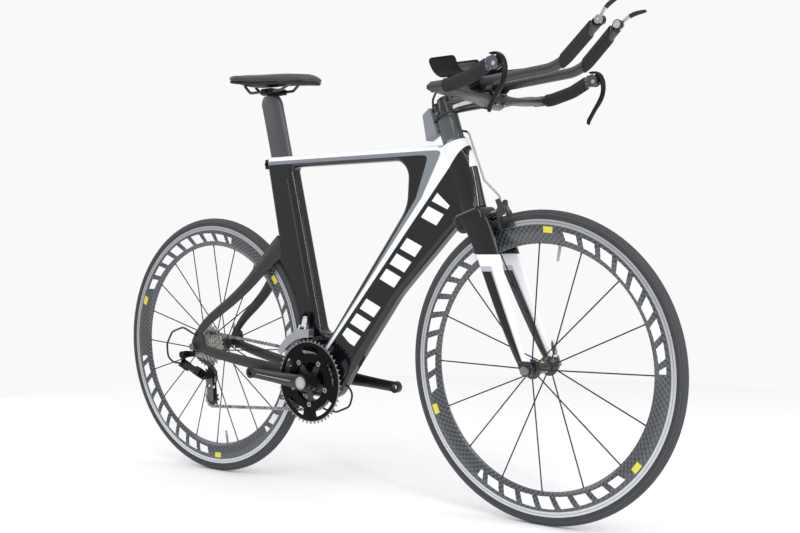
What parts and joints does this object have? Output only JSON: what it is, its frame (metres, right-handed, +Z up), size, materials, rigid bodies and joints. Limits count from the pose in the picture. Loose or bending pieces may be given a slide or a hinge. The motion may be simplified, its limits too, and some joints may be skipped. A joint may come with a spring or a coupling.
{
  "type": "time trial bike",
  "caption": "Time trial bicycle with an aero carbon frame, deep rim wheels, a flat base bar with forward extensions and arm rests, rim brakes and derailleur gears.",
  "frame": {"origin": "on the ground, midway between the two wheel axles, in the bike's centre plane", "axes": "+X forward, +Y to the rider's left, +Z up"},
  "size_m": [1.6791, 0.4182, 1.0815],
  "materials": {
    "frame_paint": "gloss painted carbon",
    "matte_carbon": "satin carbon",
    "gloss_carbon": "gloss carbon",
    "grey_plastic": "satin moulded",
    "black_plastic": "moulded",
    "alloy": "bead blasted",
    "black_alloy": "black anodised",
    "steel": "plated",
    "tyre": "matte rubber",
    "foam": "woven cover on foam",
    "tape": "cork bar tape",
    "saddle_cover": "satin cover",
    "cable": "housing",
    "wheel_carbon": "clear coated carbon weave"
  },
  "bodies": {
    "frame": {"main_frame": "frame_paint", "rear_stays": "matte_carbon", "derailleur_hanger": "black_alloy", "frame_bearings": "steel", "seat_clamp": "black_alloy", "frame_cables": "cable", "chain": "steel", "front_derailleur_mount": "black_alloy", "rear_axle": "steel", "rear_brake_mount": "steel", "rd_knuckle": "black_alloy"},
    "seat": {"seatpost": "matte_carbon", "saddle_clamp": "black_alloy"},
    "saddle": {"saddle_rails": "steel", "saddle_shell": "black_plastic", "saddle_pad": "saddle_cover"},
    "steering": {"fork": "gloss_carbon", "headset_spacers": "gloss_carbon", "tail_cover": "grey_plastic", "stem": "black_alloy", "base_bar": "matte_carbon", "bar_tape": "tape", "extensions": "matte_carbon", "armrests": "black_alloy", "armrest_pads": "foam", "lever_housings": "alloy", "front_cables": "cable", "front_axle": "steel", "front_brake_mount": "steel"},
    "front_wheel": {"front_tyre": "tyre", "front_rim": "alloy", "front_fairing": "wheel_carbon", "front_spokes": "black_alloy", "front_hub": "black_alloy"},
    "rear_wheel": {"rear_tyre": "tyre", "rear_rim": "alloy", "rear_fairing": "wheel_carbon", "rear_spokes": "black_alloy", "rear_hub": "black_alloy"},
    "crank": {"crank_arms": "gloss_carbon", "chainrings": "black_alloy"},
    "cassette": {"cassette": "steel"},
    "brake_lever_left": {"brake_lever_left": "black_alloy"},
    "brake_lever_right": {"brake_lever_right": "black_alloy"},
    "shift_lever_left": {"shift_lever_left": "alloy"},
    "shift_lever_right": {"shift_lever_right": "alloy"},
    "front_brake_arm_left": {"front_brake_arm_left": "black_alloy"},
    "front_brake_arm_right": {"front_brake_arm_right": "black_alloy"},
    "rear_brake_arm_left": {"rear_brake_arm_left": "black_alloy"},
    "rear_brake_arm_right": {"rear_brake_arm_right": "black_alloy"},
    "rd_outer_link": {"rd_outer_link": "black_alloy"},
    "rd_inner_link": {"rd_inner_link": "black_alloy"},
    "rd_lower_knuckle": {"rd_lower_knuckle": "black_alloy"},
    "rd_cage": {"rd_cage": "alloy"},
    "rd_guide_pulley": {"rd_guide_pulley": "black_plastic"},
    "rd_tension_pulley": {"rd_tension_pulley": "black_plastic"},
    "fd_link": {"fd_link": "alloy"},
    "fd_cage": {"fd_cage": "alloy"},
    "front_qr_lever": {"front_qr_lever": "alloy"},
    "rear_qr_lever": {"rear_qr_lever": "alloy"}
  },
  "joints": [
    {"name": "steering_turn", "type": "hinge", "parent": "frame", "child": "steering", "pos_m": [0.45805, 0, 0.31855], "axis": [-0.309, 0, 0.9511], "range_deg": [-40, 40]},
    {"name": "front_wheel_spin", "type": "hinge", "parent": "steering", "child": "front_wheel", "pos_m": [0.5056, 0, 0.334], "axis": [0, 1, 0], "continuous": true},
    {"name": "rear_wheel_spin", "type": "hinge", "parent": "frame", "child": "rear_wheel", "pos_m": [-0.5056, 0, 0.334], "axis": [0, 1, 0], "continuous": true},
    {"name": "crank_spin", "type": "hinge", "parent": "frame", "child": "crank", "pos_m": [-0.121, 0, 0.266], "axis": [0, 1, 0], "continuous": true, "deforming": ["chain"]},
    {"name": "cassette_spin", "type": "hinge", "parent": "frame", "child": "cassette", "pos_m": [-0.5056, 0, 0.334], "axis": [0, 1, 0], "continuous": true, "deforming": ["chain"]},
    {"name": "seatpost_slide", "type": "slide", "parent": "frame", "child": "seat", "axis": [-0.225, 0, 0.9744], "range_m": [-0.045, 0.06]},
    {"name": "saddle_slide", "type": "slide", "parent": "seat", "child": "saddle", "axis": [1, 0, 0], "range_m": [-0.015, 0.015]},
    {"name": "brake_lever_left_pull", "type": "hinge", "parent": "steering", "child": "brake_lever_left", "pos_m": [0.531, 0.195, 0.951], "axis": [0, 1, 0], "range_deg": [0, 25], "stiffness_Nm_per_rad": 2},
    {"name": "brake_lever_right_pull", "type": "hinge", "parent": "steering", "child": "brake_lever_right", "pos_m": [0.531, -0.195, 0.951], "axis": [0, 1, 0], "range_deg": [0, 25], "stiffness_Nm_per_rad": 2},
    {"name": "shift_lever_left_turn", "type": "hinge", "parent": "steering", "child": "shift_lever_left", "pos_m": [0.67432, 0.0405, 1.03944], "axis": [0, 1, 0], "range_deg": [-40, 0]},
    {"name": "shift_lever_right_turn", "type": "hinge", "parent": "steering", "child": "shift_lever_right", "pos_m": [0.67432, -0.0405, 1.03944], "axis": [0, 1, 0], "range_deg": [-40, 31.5]},
    {"name": "front_brake_arm_left_turn", "type": "hinge", "parent": "steering", "child": "front_brake_arm_left", "pos_m": [0.41579, 0, 0.66918], "axis": [-0.9659, 0, -0.2588], "range_deg": [0, 1.9]},
    {"name": "front_brake_arm_right_turn", "type": "hinge", "parent": "steering", "child": "front_brake_arm_right", "pos_m": [0.41579, 0, 0.66918], "axis": [0.9659, 0, 0.2588], "range_deg": [0, 1.9]},
    {"name": "rear_brake_arm_left_turn", "type": "hinge", "parent": "frame", "child": "rear_brake_arm_left", "pos_m": [-0.18165, 0, 0.20965], "axis": [0.3584, 0, 0.9336], "range_deg": [0, 1.9]},
    {"name": "rear_brake_arm_right_turn", "type": "hinge", "parent": "frame", "child": "rear_brake_arm_right", "pos_m": [-0.18165, 0, 0.20965], "axis": [-0.3584, 0, -0.9336], "range_deg": [0, 1.9]},
    {"name": "rd_outer_link_turn", "type": "hinge", "parent": "frame", "child": "rd_outer_link", "pos_m": [-0.54377, -0.07479, 0.28604], "axis": [0.2473, 0.5281, 0.8124], "range_deg": [-28.81, 22.69], "deforming": ["chain"]},
    {"name": "rd_inner_link_turn", "type": "hinge", "parent": "frame", "child": "rd_inner_link", "pos_m": [-0.54623, -0.06121, 0.27796], "axis": [0.2473, 0.5281, 0.8124], "range_deg": [-28.81, 22.69], "deforming": ["chain"]},
    {"name": "rd_lower_knuckle_turn", "type": "hinge", "parent": "rd_outer_link", "child": "rd_lower_knuckle", "pos_m": [-0.49777, -0.07479, 0.27204], "axis": [0.2473, 0.5281, 0.8124], "range_deg": [-22.69, 28.81], "deforming": ["chain"]},
    {"name": "rd_cage_turn", "type": "hinge", "parent": "rd_lower_knuckle", "child": "rd_cage", "pos_m": [-0.481, -0.0412, 0.257], "axis": [0, 1, 0], "range_deg": [-15, 25], "stiffness_Nm_per_rad": 0.5, "deforming": ["chain"]},
    {"name": "rd_guide_pulley_spin", "type": "hinge", "parent": "rd_lower_knuckle", "child": "rd_guide_pulley", "pos_m": [-0.481, -0.0412, 0.257], "axis": [0, 1, 0], "continuous": true, "deforming": ["chain"]},
    {"name": "rd_tension_pulley_spin", "type": "hinge", "parent": "rd_cage", "child": "rd_tension_pulley", "pos_m": [-0.47349, -0.0412, 0.19949], "axis": [0, 1, 0], "continuous": true, "deforming": ["chain"]},
    {"name": "fd_link_turn", "type": "hinge", "parent": "frame", "child": "fd_link", "pos_m": [-0.146, -0.029, 0.419], "axis": [1, 0, 0], "range_deg": [-20, 0], "deforming": ["chain"]},
    {"name": "fd_cage_turn", "type": "hinge", "parent": "fd_link", "child": "fd_cage", "pos_m": [-0.146, -0.036, 0.398], "axis": [1, 0, 0], "range_deg": [0, 20], "deforming": ["chain"]},
    {"name": "front_qr_lever_turn", "type": "hinge", "parent": "steering", "child": "front_qr_lever", "pos_m": [0.5056, 0.069, 0.334], "axis": [-0.9578, 0, -0.2873], "range_deg": [0, 140]},
    {"name": "rear_qr_lever_turn", "type": "hinge", "parent": "frame", "child": "rear_qr_lever", "pos_m": [-0.5056, 0.084, 0.334], "axis": [-0.8944, 0, -0.4472], "range_deg": [0, 140]}
  ],
  "couplings": [
    {"joint": "front_brake_arm_left_turn", "follows": "brake_lever_left_pull", "ratio": 0.076},
    {"joint": "front_brake_arm_right_turn", "follows": "brake_lever_left_pull", "ratio": 0.076},
    {"joint": "rear_brake_arm_left_turn", "follows": "brake_lever_right_pull", "ratio": 0.076},
    {"joint": "rear_brake_arm_right_turn", "follows": "brake_lever_right_pull", "ratio": 0.076},
    {"joint": "cassette_spin", "follows": "crank_spin", "ratio": 1.7895},
    {"joint": "rd_outer_link_turn", "follows": "shift_lever_right_turn", "ratio": 0.72},
    {"joint": "rd_inner_link_turn", "follows": "shift_lever_right_turn", "ratio": 0.72},
    {"joint": "rd_lower_knuckle_turn", "follows": "shift_lever_right_turn", "ratio": -0.72},
    {"joint": "rd_guide_pulley_spin", "follows": "crank_spin", "ratio": -3.0909},
    {"joint": "rd_tension_pulley_spin", "follows": "crank_spin", "ratio": 3.0909},
    {"joint": "fd_link_turn", "follows": "shift_lever_left_turn", "ratio": 0.5},
    {"joint": "fd_cage_turn", "follows": "shift_lever_left_turn", "ratio": -0.5}
  ]
}
